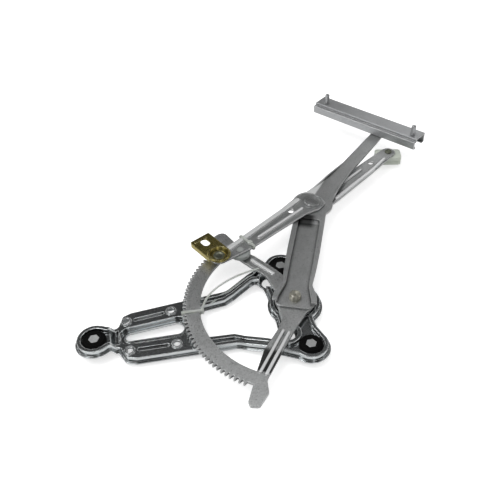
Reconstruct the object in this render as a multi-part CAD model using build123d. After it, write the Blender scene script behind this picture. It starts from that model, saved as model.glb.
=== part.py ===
from build123d import *
import os
from math import atan2, cos, degrees, hypot, radians, sin

# Window regulator, scissor type, lying on its three door mounts.
# Millimetres. The origin is where the main pivot's axis meets the plane of the door panel
# that the three mounts stand on. +Z points away from the panel, +X from the motor bracket
# to the main pivot. The base plate is symmetrical about the XZ plane.

# ---------------------------------------------------------------- driving dimensions
# base plate: one pressed sheet with a turned flange and a raised bead round every edge
BASE_SHEET = 1.2
FLANGE_Z = 5.0            # underside of the turned flange, round the motor seat
FLANGE_WIDTH = 2.5
FLOOR_Z = 7.0             # underside of the pressed floor
BEAD_TOP_Z = 12.5
BEAD_WIDTH = 4.2
LEFT_RISE = 6.0           # the left mount's lobe is pressed this far above the motor seat's level
HUB_RISE = 3.6            # and the hub with its two lobes this far
HUB_RADIUS = 30.2
HUB_SEAT_RADIUS = 20.0    # raised seat of the main pivot
HUB_SEAT_Z = 14.0         # top of that seat
LOBE_RADIUS = 20.6        # lobe round each door mount
LEFT_MOUNT_X = -218.3
SIDE_MOUNT_Y = 60.3       # upper and lower mounts lie this far each side of the main pivot
NECK_HALF = 15.5
NECK_START_X = -203.5     # the neck's straight edges, between these two
NECK_END_X = -195.0
NECK_CORNER = 3.0
FORK_START_X = -193.0     # raised motor seat, between these two
FORK_END_X = -116.0
FORK_HALF = 40.5          # at the root of the two arms
FORK_TAPER = 6.0          # the fork is this much narrower at its other end
ARM_START_X = -72.0       # the arms slope outwards from here
ARM_SLOPE = 0.545
ARM_BAND = 17.2           # across an arm, along Y
RAMP_START_X = -64.0      # the arms rise to the hub's level between these two
RAMP_END_X = -42.0
WINDOW_START_X = -108.0
WEB_HOLE_RADIUS = 8.0     # round hole between each side lobe and the hub
WEB_HOLE_X = -19.6
WEB_HOLE_Y = 40.3
WEB_HALF = 14.5           # right edge of the web between a side lobe and the hub

# motor bracket holes and the slot for the motor's pinion
MOTOR_OUTER_X = -183.5
MOTOR_OUTER_Y = 20.3
MOTOR_INNER_X = -134.5
MOTOR_INNER_Y = 23.7
MOTOR_HOLE_RADIUS = 3.5
MOTOR_COLLAR_RADIUS = 5.6
MOTOR_COLLAR_HEIGHT = 1.2
SLOT_SMALL_X = -181.5
SLOT_SMALL_RADIUS = 4.9
SLOT_LARGE_X = -131.5
SLOT_LARGE_RADIUS = 7.8
SLOT_DISH = 6.5           # flat of the dish round the slot
SLOT_LIP_HEIGHT = 1.4
STIFFENER_WIDTH = 4.0     # pressed grooves between the motor holes
STIFFENER_DEPTH = 2.0
STIFFENER_MARGIN = 10.0   # from a motor hole to the groove's end

# door mounts
RUBBER_RADIUS = 12.8
RUBBER_WAIST_RADIUS = 9.4
RUBBER_WAIST_GAP = 0.2
RUBBER_ABOVE_FLOOR = 4.0
RUBBER_BOTTOM_Z = 1.0
INSERT_FLATS = 10.0
INSERT_STAND = 0.4        # the hexagon stands this far out of the rubber
INSERT_THREAD_RADIUS = 2.5
INSERT_THREAD_DEPTH = 12.0

# main pivot
STUD_RADIUS = 4.5
STUD_FOOT_RADIUS = 9.0
STUD_FOOT_THICK = 1.5
STUD_HEAD_RADIUS = 6.2
STUD_HEAD_HEIGHT = 2.4
STUD_DIMPLE_RADIUS = 2.6
STUD_DIMPLE_DEPTH = 0.9
BUSH_RADIUS = 6.6
BUSH_STAND = 4.2          # how far the bush stands out of the lift arm
RUNNING_GAP = 0.05
FACE_GAP = 0.1
THRUST_RADIUS = 15.0

# toothed sector
SECTOR_Z = 16.5
SECTOR_THICK = 3.0
MODULE = 1.75
TEETH_IN_CIRCLE = 139
FIRST_TOOTH = -5          # teeth are counted from the one at TOOTH_ANGLE
LAST_TOOTH = 37
TOOTH_ANGLE = 134.5
BAND_WIDTH = 15.0         # from the tooth roots to the inner edge
SECTOR_HUB_RADIUS = 22.0
BAND_START_ANGLE = 112.0
BAND_END_ANGLE = 240.0
EAR_REACH = 19.6          # the end stops stand this far out of the tips' circle
EAR_ANGLE = 7.0
RIB_HEIGHT = 1.5
LOWER_RIB_GAP = 6.4       # between the two ridges of the lower spoke
LOWER_RIB_WIDTH = 4.0

# lift arm
ARM_THICK = 2.5
LIFT_ANGLE = 66.1         # from +X, at rest
LIFT_LOWER = 163.5        # main pivot to cross pivot
LIFT_UPPER = 202.5        # cross pivot to rail pivot
LIFT_BEND = -23.1         # bend in the plane at the cross pivot
LEDGE_RISE = 4.5          # the ledges lie this far above the panel
LIFT_HALF = 19.3
PANEL_HALF = 13.2
LIFT_BOSS_RADIUS = 26.0
LIFT_END_HALF = 9.8
LIFT_END_TAPER = 2.6      # the arm's right edge comes in this much towards the rail pivot
UPPER_FLANGE_HEIGHT = 3.0 # right flange
UPPER_FLANGE_CREST = 3.0  # left flange, where it is highest
UPPER_FLANGE_LEFT_END = 104.0
UPPER_FLANGE_RIGHT_END = 86.0

# equaliser, two half arms on one stud
EQ_THICK = 2.0
EQ_LOWER = 152.5          # cross pivot to bracket pivot
EQ_UPPER = 169.5          # cross pivot to end slider
EQ_LOWER_ANGLE = 207.7    # from +X, at rest
EQ_UPPER_ANGLE = 33.0
EQ_HALF = 11.0
EQ_END_RADIUS = 9.5      # round the end slider
EQ_TIP_RADIUS = 10.6      # round the guide bracket's pivot
EQ_BOSS_RADIUS = 15.0
EQ_SHOULDER = 22.0        # the bracket half is this wide on its outer side at the cross pivot
EQ_WASHER = 0.4
EQ_DROP = 2.4             # spacer between the lift arm and the lower-lying half
EQ_RIB_HEIGHT = 1.9
EQ_LIGHTENING_RADIUS = 3.6
CROSS_STUD_RADIUS = 7.0
CROSS_HEAD_RADIUS = 10.5
CROSS_HEAD_HEIGHT = 1.8
CROSS_FOOT_RADIUS = 9.0

# guide bracket
BRACKET_ANGLE = 117.3     # from +X, at rest
BRACKET_SHEET = 1.5
BRACKET_HALF = 13.7
BRACKET_LENGTH = 38.0
BRACKET_RISE = 5.2        # plate above the cup's floor
BRACKET_FLANGE = 5.0
CUP_FLOOR_RADIUS = 8.8
CUP_MOUTH_RADIUS = 11.2
CUP_LIP = 1.0
BRACKET_SLOT_LENGTH = 13.0
BRACKET_SLOT_WIDTH = 9.0
BRACKET_SLOT_AT = 26.2
RIVET_RADIUS = 4.0
RIVET_HEAD_RADIUS = 7.0
RIVET_HEAD_HEIGHT = 1.8
RIVET_FOOT_RADIUS = 6.5
RIVET_FOOT_THICK = 2.0

# end slider
SLIDER_LENGTH = 36.0
SLIDER_WIDTH = 22.0
SLIDER_HEIGHT = 13.0
SLIDER_ANGLE = -15.0
SLIDER_GAP = 0.3
SLIDER_HEAD_RADIUS = 5.0
SLIDER_FOOT_RADIUS = 6.0

# glass rail, its shoe and its studs
RAIL_ANGLE = -53.6        # from +X, at rest
RAIL_LENGTH = 174.0
RAIL_HEIGHT = 15.0
RAIL_SHEET = 1.5
RAIL_STEP = 3.5           # the front wall steps out below the web
WEB_FRONT = -8.5          # across the rail, from the studs' line
WEB_BACK = 16.0
WALL_FRONT = -13.0
LIP_FRONT = -7.0
LIP_BACK = 10.0
RAIL_STUD_RADIUS = 3.0
RAIL_STUD_LENGTH = 15.0
RAIL_STUD_KNURL = 0.4     # the knurled shank in the web is this much wider than the thread
RAIL_STUD_FAR = 15.0      # from the rail's far end to its stud
RAIL_STUD_NEAR = 11.0
RAIL_REST_SHIFT = 111.0   # rail pivot, from the rail's far end, at rest
SHOE_LENGTH = 32.0
SHOE_GAP = 0.3
SHOE_NECK_RADIUS = 6.4
RAIL_GAP = 0.6            # between the lift arm and the rail's lips
PIN_HEAD_RADIUS = 6.0

# glide pad between the equaliser and the sector
PAD_RADIUS = 12.0
PAD_ALONG = 26.0          # from the bracket pivot towards the cross pivot
PAD_SIDE = 7.0
PAD_PLUG_RADIUS = 3.0

# nylon ties
TIE_WIDTH = 3.0
TIE_THICK = 1.1
TIE_GAP = 0.35
TIE_HEAD = 5.0
SECTOR_TIE_ANGLE = 174.8
TAIL_MIDDLE = (-73.4, 42.4)
TAIL_END = (-27.0, 56.6)
TAIL_WIDTH = 2.2
TAIL_THICK = 0.8
TAIL_LIFT = 0.65
ARM_TIE_GAP = 2.6         # from the glide pad's edge to the middle of the tie

# ---------------------------------------------------------------- worked-out dimensions
SECTOR_TOP = SECTOR_Z + SECTOR_THICK
PANEL_TOP = SECTOR_TOP + ARM_THICK
LEDGE_Z = SECTOR_TOP + LEDGE_RISE
LEDGE_TOP = LEDGE_Z + ARM_THICK
EQ_TOP_Z = LEDGE_TOP + FACE_GAP + EQ_WASHER     # underside of the upper-lying half
EQ_TOP = EQ_TOP_Z + EQ_THICK
EQ_LOW_TOP = LEDGE_Z - FACE_GAP - EQ_DROP       # top of the lower-lying half
EQ_LOW_Z = EQ_LOW_TOP - EQ_THICK
CUP_Z = EQ_TOP + FACE_GAP
BRACKET_Z = CUP_Z + BRACKET_RISE
RAIL_Z = LEDGE_TOP + RAIL_GAP
RAIL_TOP = RAIL_Z + RAIL_HEIGHT
RAIL_STUD_PLACES = (RAIL_STUD_FAR, RAIL_LENGTH - RAIL_STUD_NEAR)
TIP_RADIUS = MODULE * (TEETH_IN_CIRCLE + 2) / 2
ROOT_RADIUS = MODULE * (TEETH_IN_CIRCLE - 2.5) / 2
BAND_RADIUS = ROOT_RADIUS - BAND_WIDTH
PITCH_ANGLE = 360 / TEETH_IN_CIRCLE


def polar(radius, angle):
    return (radius * cos(radians(angle)), radius * sin(radians(angle)))


CROSS_PIVOT = polar(LIFT_LOWER, LIFT_ANGLE)


def from_cross(radius, angle):
    x, y = polar(radius, angle)
    return (CROSS_PIVOT[0] + x, CROSS_PIVOT[1] + y)


RAIL_PIVOT = from_cross(LIFT_UPPER, LIFT_ANGLE + LIFT_BEND)
BRACKET_PIVOT = from_cross(EQ_LOWER, EQ_LOWER_ANGLE)
SLIDER_PIVOT = from_cross(EQ_UPPER, EQ_UPPER_ANGLE)
MOUNT_CENTRES = {
    "left": (LEFT_MOUNT_X, 0),
    "upper": (0, SIDE_MOUNT_Y),
    "lower": (0, -SIDE_MOUNT_Y),
}
MOUNT_RISES = {"left": LEFT_RISE, "upper": HUB_RISE, "lower": HUB_RISE}


# ---------------------------------------------------------------- helpers
def at(point, angle=0.0, z=0.0):
    return Pos(point[0], point[1], z) * Rot(0, 0, angle)


def rounded_face(corners):
    """A face from (x, y, corner radius) points."""
    points = [(x, y) for x, y, _ in corners]
    radii = [radius for _, _, radius in corners]
    return make_face(FilletPolyline(*points, radius=radii, close=True))


def both_sides(corners):
    """The corners given, then their mirror images in the X axis, in order round the face."""
    return corners + [(x, -y, radius) for x, y, radius in reversed(corners)]


def layer(face, low, high):
    return Pos(0, 0, low) * extrude(face, high - low)


def disc(radius, low, high, centre=(0, 0)):
    return layer(Pos(centre[0], centre[1]) * Circle(radius), low, high)


def hull_of(small, large):
    """The outline round two circles given as (x, radius) on the X axis."""
    return make_hull(
        (Pos(small[0], 0) * Circle(small[1])).edges() + (Pos(large[0], 0) * Circle(large[1])).edges()
    )


def bar(start, end, width):
    """A straight bar with round ends, from point to point."""
    length = hypot(end[0] - start[0], end[1] - start[1])
    angle = degrees(atan2(end[1] - start[1], end[0] - start[0]))
    middle = ((start[0] + end[0]) / 2, (start[1] + end[1]) / 2)
    return at(middle, angle) * SlotCenterToCenter(length, width)


def beside(start, end, shift):
    """The line from start to end, moved sideways."""
    length = hypot(end[0] - start[0], end[1] - start[1])
    x, y = shift * (start[1] - end[1]) / length, shift * (end[0] - start[0]) / length
    return (start[0] + x, start[1] + y), (end[0] + x, end[1] + y)


def rib(start, end, width, height, low):
    """A pressed rib with sloping sides."""
    return Pos(0, 0, low) * extrude(bar(start, end, width), height, taper=25)


def edge_flange(start, end, thick, low, start_height, end_height):
    """An upright flange along a line, on its left, whose height changes from end to end."""
    length = hypot(end[0] - start[0], end[1] - start[1])
    angle = degrees(atan2(end[1] - start[1], end[0] - start[0]))
    side = make_face(Polyline((0, 0), (length, 0), (length, end_height), (0, start_height), close=True))
    return at(start, angle, low) * extrude(Plane.XZ * side, -thick)


def turned(profile):
    """A turned piece from (radius, height) points."""
    return revolve(Plane.XZ * make_face(Polyline(*profile, close=True)), Axis.Z)


def rivet(shank, foot, foot_low, foot_high, head, head_low, head_high, dimple=0.0, dimple_depth=0.9):
    """Foot, shank and domed head, with a dimple in the head if one is asked for."""
    edge = (head_high - head_low) * 0.45
    profile = [(0, foot_low), (foot, foot_low), (foot, foot_high), (shank, foot_high)]
    profile += [(shank, head_low), (head, head_low), (head, head_high - edge), (head - edge, head_high)]
    if dimple:
        profile += [(dimple, head_high), (dimple * 0.55, head_high - dimple_depth)]
        profile += [(0, head_high - dimple_depth)]
    else:
        profile += [(0, head_high)]
    return turned(profile)


# ---------------------------------------------------------------- base plate
def arm_edge(x):
    """Where the outer edge of the upper arm is."""
    return FORK_HALF + ARM_SLOPE * (x - ARM_START_X)


def base_region():
    lobe_x = -LOBE_RADIUS / 2
    outline = rounded_face(both_sides([
        (LEFT_MOUNT_X - 8, LOBE_RADIUS - 3.5, 0),
        (LEFT_MOUNT_X + 9, LOBE_RADIUS - 1.6, 6),
        (NECK_START_X, NECK_HALF, NECK_CORNER),
        (NECK_END_X, NECK_HALF, NECK_CORNER),
        (NECK_END_X + 6, FORK_HALF - FORK_TAPER - 4, 7),
        (NECK_END_X + 17, FORK_HALF - FORK_TAPER, 12),
        (ARM_START_X, FORK_HALF, 14),
        (RAMP_END_X + 4, arm_edge(RAMP_END_X + 4), 20),
        (lobe_x, SIDE_MOUNT_Y + LOBE_RADIUS * 0.76, 0),
        (WEB_HALF + 4.5, SIDE_MOUNT_Y - 8.2, 0),
        (WEB_HALF, SIDE_MOUNT_Y - 22, 10),
        (WEB_HALF, HUB_RADIUS / 2, 0),
    ]))
    lobes = [Pos(*centre) * Circle(LOBE_RADIUS) for centre in MOUNT_CENTRES.values()]
    return outline + lobes + Circle(HUB_RADIUS)


def base_window():
    tip = RAMP_END_X + 8
    window = rounded_face(both_sides([
        (WINDOW_START_X, FORK_HALF - ARM_BAND - 3.8, 8),
        (ARM_START_X - 1, arm_edge(ARM_START_X - 1) - ARM_BAND, 10),
        (tip, arm_edge(tip) - ARM_BAND, 4),
        (tip + 6.5, HUB_RADIUS + 1.8, 4),
        (tip + 7.5, HUB_RADIUS * 0.66, 0),
    ]))
    return window - Circle(HUB_RADIUS)


def web_holes():
    return [Pos(WEB_HOLE_X, side * WEB_HOLE_Y) * Circle(WEB_HOLE_RADIUS) for side in (-1, 1)]


def pressed_sheet(region):
    """Flange, bead and floor of one sheet, all following the region's edges."""
    bead_outer = offset(region, -FLANGE_WIDTH)
    bead_skin = offset(region, -FLANGE_WIDTH - BASE_SHEET)
    floor_skin = offset(region, -FLANGE_WIDTH - BEAD_WIDTH + BASE_SHEET)
    floor = offset(region, -FLANGE_WIDTH - BEAD_WIDTH)
    flange = layer(region - bead_outer, FLANGE_Z, FLANGE_Z + BASE_SHEET)
    outer_wall = layer(bead_outer - bead_skin, FLANGE_Z, BEAD_TOP_Z)
    bead = layer(bead_outer - floor, BEAD_TOP_Z - BASE_SHEET, BEAD_TOP_Z)
    inner_wall = layer(floor_skin - floor, FLOOR_Z, BEAD_TOP_Z)
    bottom = layer(floor_skin, FLOOR_Z, FLOOR_Z + BASE_SHEET)
    return flange + outer_wall + bead + inner_wall + bottom, floor


def motor_holes():
    for x, y in ((MOTOR_OUTER_X, MOTOR_OUTER_Y), (MOTOR_INNER_X, MOTOR_INNER_Y)):
        yield (x, y)
        yield (x, -y)


def stiffener(side, extra=0.0):
    run_x = MOTOR_INNER_X - MOTOR_OUTER_X
    run_y = MOTOR_INNER_Y - MOTOR_OUTER_Y
    share = STIFFENER_MARGIN / run_x
    start = (MOTOR_OUTER_X + share * run_x, side * (MOTOR_OUTER_Y + share * run_y))
    end = (MOTOR_INNER_X - share * run_x, side * (MOTOR_INNER_Y - share * run_y))
    return bar(start, end, STIFFENER_WIDTH + 2 * extra)


def motor_seat(sheet, floor):
    """The raised seat, the dish round the pinion slot, the collared holes and the grooves."""
    length = FORK_END_X - FORK_START_X
    block = Pos((FORK_START_X + FORK_END_X) / 2, 0) * Rectangle(length, 4 * FORK_HALF)
    seat = block & floor
    dish = hull_of((SLOT_SMALL_X, SLOT_SMALL_RADIUS + SLOT_DISH), (SLOT_LARGE_X, SLOT_LARGE_RADIUS + SLOT_DISH))
    dish_skin = offset(dish, BASE_SHEET)
    slot = hull_of((SLOT_SMALL_X, SLOT_SMALL_RADIUS), (SLOT_LARGE_X, SLOT_LARGE_RADIUS))
    lip = offset(slot, BASE_SHEET) - slot
    seat_low = BEAD_TOP_Z - BASE_SHEET
    sheet -= layer(block & floor, FLOOR_Z, FLOOR_Z + BASE_SHEET)
    sheet += layer(seat - dish, seat_low, BEAD_TOP_Z)
    sheet += layer(seat - offset(seat, -BASE_SHEET), FLOOR_Z, BEAD_TOP_Z)
    sheet += layer(dish_skin - dish, FLOOR_Z, BEAD_TOP_Z)
    sheet += layer(dish, FLOOR_Z, FLOOR_Z + BASE_SHEET)
    sheet += layer(lip, FLOOR_Z, FLOOR_Z + BASE_SHEET + SLOT_LIP_HEIGHT)
    sheet -= layer(slot, FLOOR_Z - 1, BEAD_TOP_Z + 1)
    for side in (-1, 1):
        groove_low = BEAD_TOP_Z - STIFFENER_DEPTH
        sheet += layer(stiffener(side, BASE_SHEET), groove_low - BASE_SHEET, BEAD_TOP_Z)
        sheet -= layer(stiffener(side), groove_low, BEAD_TOP_Z + 1)
    for centre in motor_holes():
        sheet += disc(MOTOR_COLLAR_RADIUS, seat_low, BEAD_TOP_Z + MOTOR_COLLAR_HEIGHT, centre)
    for centre in motor_holes():
        sheet -= disc(MOTOR_HOLE_RADIUS, FLOOR_Z, BEAD_TOP_Z + 2 * MOTOR_COLLAR_HEIGHT, centre)
    return sheet


def zone(sheet, start, end, rise=0.0):
    """The part of the sheet between two places along X, raised."""
    room = Pos((start + end) / 2, 0, 0) * Box(end - start, 20 * LOBE_RADIUS, 20 * LOBE_RADIUS)
    return Pos(0, 0, rise) * (sheet & room)


def carried(faces, run):
    """Solids that carry section faces along a straight run."""
    return [Solid.extrude(face, Vector(*run)) for face in faces]


def set_levels(sheet):
    """Raise the left lobe and the hub above the motor seat, joined by sloping stretches."""
    neck_high = NECK_START_X + NECK_CORNER / 2
    neck_low = NECK_END_X - NECK_CORNER * 0.8
    fork = zone(sheet, neck_low, RAMP_START_X)
    ends = fork.faces().filter_by(Axis.X)
    neck_run = (neck_high - neck_low, 0, LEFT_RISE)
    neck = carried(ends.group_by(Axis.X)[0], neck_run)
    arms = []
    for side in (-1, 1):
        run = RAMP_END_X - RAMP_START_X
        sections = ends.group_by(Axis.X)[-1].filter_by(lambda face: face.center().Y * side > 0)
        arms += carried(sections, (run, side * ARM_SLOPE * run, HUB_RISE))
    left = zone(sheet, LEFT_MOUNT_X - 2 * LOBE_RADIUS, neck_high, LEFT_RISE)
    hub = zone(sheet, RAMP_END_X, 2 * HUB_RADIUS, HUB_RISE)
    return fork + neck + arms + left + hub


def base_plate():
    sheet, floor = pressed_sheet(base_region() - base_window() - web_holes())
    sheet = set_levels(motor_seat(sheet, floor))
    seat_skin = HUB_SEAT_RADIUS + BASE_SHEET
    floor_z = FLOOR_Z + HUB_RISE
    sheet -= disc(HUB_SEAT_RADIUS, floor_z - 1, HUB_SEAT_Z)
    sheet += disc(seat_skin, floor_z, HUB_SEAT_Z) - disc(HUB_SEAT_RADIUS, floor_z, HUB_SEAT_Z - BASE_SHEET)
    sheet -= disc(STUD_RADIUS, floor_z, HUB_SEAT_Z + 1)
    for centre in MOUNT_CENTRES.values():
        sheet -= disc(RUBBER_WAIST_RADIUS + RUBBER_WAIST_GAP, FLOOR_Z - 1, BEAD_TOP_Z + LEFT_RISE, centre)
    return sheet


# ---------------------------------------------------------------- door mounts
def hexagon():
    return RegularPolygon(INSERT_FLATS / 2, 6, major_radius=False)


def rubber_top(rise):
    return FLOOR_Z + BASE_SHEET + rise + RUBBER_ABOVE_FLOOR


def rubber_mount(rise):
    """Grommet held by its waist in a hole of the base plate's floor."""
    floor_low = FLOOR_Z + rise
    floor_top = floor_low + BASE_SHEET
    top = rubber_top(rise)
    gap = RUBBER_WAIST_GAP
    body = turned([
        (0, RUBBER_BOTTOM_Z), (RUBBER_RADIUS - 2, RUBBER_BOTTOM_Z), (RUBBER_RADIUS, RUBBER_BOTTOM_Z + 2),
        (RUBBER_RADIUS, floor_low - gap), (RUBBER_WAIST_RADIUS, floor_low - gap),
        (RUBBER_WAIST_RADIUS, floor_top + gap), (RUBBER_RADIUS, floor_top + gap),
        (RUBBER_RADIUS, top - 2), (RUBBER_RADIUS - 1.5, top - 0.5), (RUBBER_RADIUS - 4, top), (0, top),
    ])
    return body - layer(hexagon(), 0, top + 1)


def threaded_insert(rise):
    body = layer(hexagon(), 0, rubber_top(rise) + INSERT_STAND)
    return body - disc(INSERT_THREAD_RADIUS, 0, INSERT_THREAD_DEPTH)


# ---------------------------------------------------------------- main pivot
def pivot_stud():
    seat_low = HUB_SEAT_Z - BASE_SHEET
    head_low = PANEL_TOP + BUSH_STAND + FACE_GAP
    return rivet(
        STUD_RADIUS, STUD_FOOT_RADIUS, seat_low - STUD_FOOT_THICK, seat_low,
        STUD_HEAD_RADIUS, head_low, head_low + STUD_HEAD_HEIGHT, STUD_DIMPLE_RADIUS, STUD_DIMPLE_DEPTH,
    )


def thrust_washer():
    top = SECTOR_Z - FACE_GAP
    return disc(THRUST_RADIUS, HUB_SEAT_Z, top) - disc(STUD_RADIUS + RUNNING_GAP, HUB_SEAT_Z, top)


def pivot_bush():
    top = PANEL_TOP + BUSH_STAND
    return disc(BUSH_RADIUS, SECTOR_Z, top) - disc(STUD_RADIUS + RUNNING_GAP, SECTOR_Z, top)


# ---------------------------------------------------------------- toothed sector
def tooth(index):
    middle = TOOTH_ANGLE + index * PITCH_ANGLE
    tip, root = PITCH_ANGLE * 0.13, PITCH_ANGLE * 0.36
    return make_face(Polyline(
        polar(ROOT_RADIUS - 0.5, middle - root), polar(ROOT_RADIUS, middle - root),
        polar(TIP_RADIUS, middle - tip), polar(TIP_RADIUS, middle + tip),
        polar(ROOT_RADIUS, middle + root), polar(ROOT_RADIUS - 0.5, middle + root),
        close=True,
    ))


def ring_piece(inner, outer, start, end):
    """A piece of a flat ring between two angles."""
    return make_face([
        CenterArc((0, 0), outer, start, end - start),
        Line(polar(outer, end), polar(inner, end)),
        CenterArc((0, 0), inner, start, end - start),
        Line(polar(inner, start), polar(outer, start)),
    ])


def sector_profile():
    band = ring_piece(BAND_RADIUS, ROOT_RADIUS, BAND_START_ANGLE, BAND_END_ANGLE)
    ear_tip = TIP_RADIUS + EAR_REACH
    ear_end = BAND_START_ANGLE + EAR_ANGLE
    ear = rounded_face([
        (*polar(ROOT_RADIUS - 8, BAND_START_ANGLE), 0), (*polar(ear_tip - 2, BAND_START_ANGLE), 7),
        (*polar(ear_tip + 1, BAND_START_ANGLE + EAR_ANGLE / 2), 12), (*polar(ear_tip - 1, ear_end), 4),
        (*polar(ROOT_RADIUS - 8, ear_end), 0),
    ])
    hook_root = BAND_END_ANGLE - 6
    hook = rounded_face([
        (*polar(ROOT_RADIUS - 8, hook_root), 0), (*polar(TIP_RADIUS - 1, hook_root + 0.5), 4),
        (*polar(ear_tip - 3, hook_root + 1.5), 2), (*polar(ear_tip + 1.5, hook_root + 3), 3),
        (*polar(ear_tip - 1, hook_root + 6.5), 3), (*polar(TIP_RADIUS + 1, hook_root + 8.5), 5),
        (*polar(ROOT_RADIUS - 8, BAND_END_ANGLE), 0),
    ])
    upper_spoke = rounded_face([
        (-15, 8, 0), (-18.3, 19.7, 12), (-21.2, 41.5, 20), (-50, 86, 0), (-45, 98, 0),
        (-27, 80, 20), (-7.8, 50.2, 20), (8, 19, 0),
    ])
    lower_spoke = rounded_face([
        (-20.8, -4, 0), (-21.6, -25, 8), (-27, -34, 14), (-50, -60, 20), (-63.5, -84, 0), (-53, -92, 0),
        (-31.4, -64.7, 20), (-10, -39, 12), (9, -19, 0),
    ])
    profile = band + ear + hook + upper_spoke + lower_spoke + Circle(SECTOR_HUB_RADIUS)
    for index in range(FIRST_TOOTH, LAST_TOOTH + 1):
        profile += tooth(index)
    return profile - Circle(BUSH_RADIUS)


UPPER_RIB = ((-13, 45), (-31.5, 73))
LOWER_RIB = ((-22, -42.5), (-57, -87))


def sector_gear():
    plate = layer(sector_profile(), SECTOR_Z, SECTOR_TOP)
    plate += rib(*UPPER_RIB, 4.5, RIB_HEIGHT, SECTOR_TOP)
    for side in (-1, 1):
        plate += rib(*beside(*LOWER_RIB, side * LOWER_RIB_GAP / 2), LOWER_RIB_WIDTH, RIB_HEIGHT, SECTOR_TOP)
    return plate


# ---------------------------------------------------------------- lift arm
def lift_lower_outline():
    return rounded_face(both_sides([
        (-14, 15, 5), (-9, 24.5, 4), (2, 23.5, 8), (18, LIFT_HALF - 2.6, 14),
        (45, LIFT_HALF - 0.8, 30), (75, LIFT_HALF, 60), (LIFT_LOWER, LIFT_HALF, 0),
    ])) + Pos(LIFT_LOWER, 0) * Circle(LIFT_BOSS_RADIUS)


def lift_panel():
    return rounded_face(both_sides([
        (-15, 17.5, 0), (-5, 18.5, 8), (18, PANEL_HALF - 0.4, 20), (60, PANEL_HALF, 80),
        (LIFT_LOWER - 31, PANEL_HALF, 4),
    ]))


def lift_upper_outline():
    half = LIFT_END_HALF
    end = LIFT_UPPER + half
    return rounded_face([
        (0, LIFT_BOSS_RADIUS - 4, 0), (32, 16.5, 20), (62, half + 2.6, 40), (UPPER_FLANGE_LEFT_END, half, 60),
        (end, half, half - 1.8), (end, LIFT_END_TAPER - half, half - 1.8), (UPPER_FLANGE_RIGHT_END, -half, 60),
        (62, -half - 2.6, 40), (32, -16.5, 20), (0, 4 - LIFT_BOSS_RADIUS, 0),
    ])


def ramp():
    """The sloping end of the panel, up to the boss of the cross pivot."""
    start = LIFT_LOWER - 31
    low, high = SECTOR_TOP, LEDGE_Z
    side = make_face(Polyline(
        (start - 6, low), (start, low), (start + 7, high), (start + 7, high + ARM_THICK),
        (start + 4, high + ARM_THICK), (start - 4, low + ARM_THICK), (start - 6, low + ARM_THICK), close=True,
    ))
    return extrude(Plane.XZ * side, PANEL_HALF + ARM_THICK / 2, both=True)


def lift_arm():
    panel = lift_panel()
    outline = lift_lower_outline()
    skin = offset(panel, ARM_THICK * 0.7) & outline
    arm = layer(panel & outline, SECTOR_TOP, PANEL_TOP)
    arm += layer(skin - panel, SECTOR_TOP, LEDGE_TOP)
    arm += layer(outline - panel, LEDGE_Z, LEDGE_TOP)
    arm -= Pos(-24, 0, PANEL_TOP + 25) * Box(30, 100, 50)
    arm += ramp()
    lower = at((0, 0), LIFT_ANGLE) * arm
    upper = layer(lift_upper_outline(), LEDGE_Z, LEDGE_TOP)
    thick = ARM_THICK * 0.7
    root, none = LEDGE_TOP - 0.5, 0.5
    crest, height = UPPER_FLANGE_CREST + none, UPPER_FLANGE_HEIGHT + none
    middle = (62, LIFT_END_HALF + 0.8)
    upper += edge_flange((28, 15.2), middle, thick, root, none, crest)
    upper += edge_flange(middle, (UPPER_FLANGE_LEFT_END, LIFT_END_HALF - thick), thick, root, crest, none)
    upper += edge_flange((30, -14.6 - thick), (46, -13.2 - thick), thick, root, none, height)
    upper += edge_flange((46, -13.2 - thick), (UPPER_FLANGE_RIGHT_END, -LIFT_END_HALF), thick, root, height, none)
    upper -= disc(RIVET_RADIUS, LEDGE_Z - 1, LEDGE_TOP + 1, (LIFT_UPPER, 0))
    arm = lower + at(CROSS_PIVOT, LIFT_ANGLE + LIFT_BEND) * upper
    arm -= disc(BUSH_RADIUS, SECTOR_TOP - 1, PANEL_TOP + 1)
    arm -= disc(CROSS_STUD_RADIUS + RUNNING_GAP, LEDGE_Z - 1, LEDGE_TOP + 1, CROSS_PIVOT)
    return arm


# ---------------------------------------------------------------- equaliser
def equaliser_bracket_half():
    """The half that lies over the lift arm, drawn from the cross pivot along +X."""
    pad_x = EQ_LOWER - PAD_ALONG
    outline = rounded_face([
        (-14, -11, 6), (-6, -EQ_SHOULDER, 8), (6, -EQ_SHOULDER, 14), (45, -EQ_HALF - 4.8, 60),
        (pad_x - 9, -EQ_HALF + 2.5, 60), (EQ_LOWER, -EQ_TIP_RADIUS, 0), (EQ_LOWER, EQ_TIP_RADIUS, 0),
        (pad_x - 9, EQ_HALF + 3.2, 40), (66, EQ_HALF + 1.4, 50), (24, EQ_HALF + 1, 20),
        (4, EQ_BOSS_RADIUS + 1, 8), (-13, 13, 9),
    ])
    outline += Pos(EQ_LOWER, 0) * Circle(EQ_TIP_RADIUS)
    arm = layer(outline, EQ_TOP_Z, EQ_TOP)
    arm += rib((12, -15.2), (EQ_LOWER - 17, -3.2), 7.0, EQ_RIB_HEIGHT, EQ_TOP)
    arm += rib((20, 1.2), (pad_x - 31, 5.4), 4.2, EQ_RIB_HEIGHT, EQ_TOP)
    arm -= disc(CROSS_STUD_RADIUS, EQ_TOP_Z - 1, EQ_TOP + 1)
    arm -= disc(RIVET_RADIUS, EQ_TOP_Z - 1, EQ_TOP + 1, (EQ_LOWER, 0))
    arm -= disc(EQ_LIGHTENING_RADIUS, EQ_TOP_Z - 1, EQ_TOP + 5, (33, -5.0))
    arm -= disc(PAD_PLUG_RADIUS, EQ_TOP_Z - 1, EQ_TOP + 1, (pad_x, PAD_SIDE))
    return at(CROSS_PIVOT, EQ_LOWER_ANGLE) * arm


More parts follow.
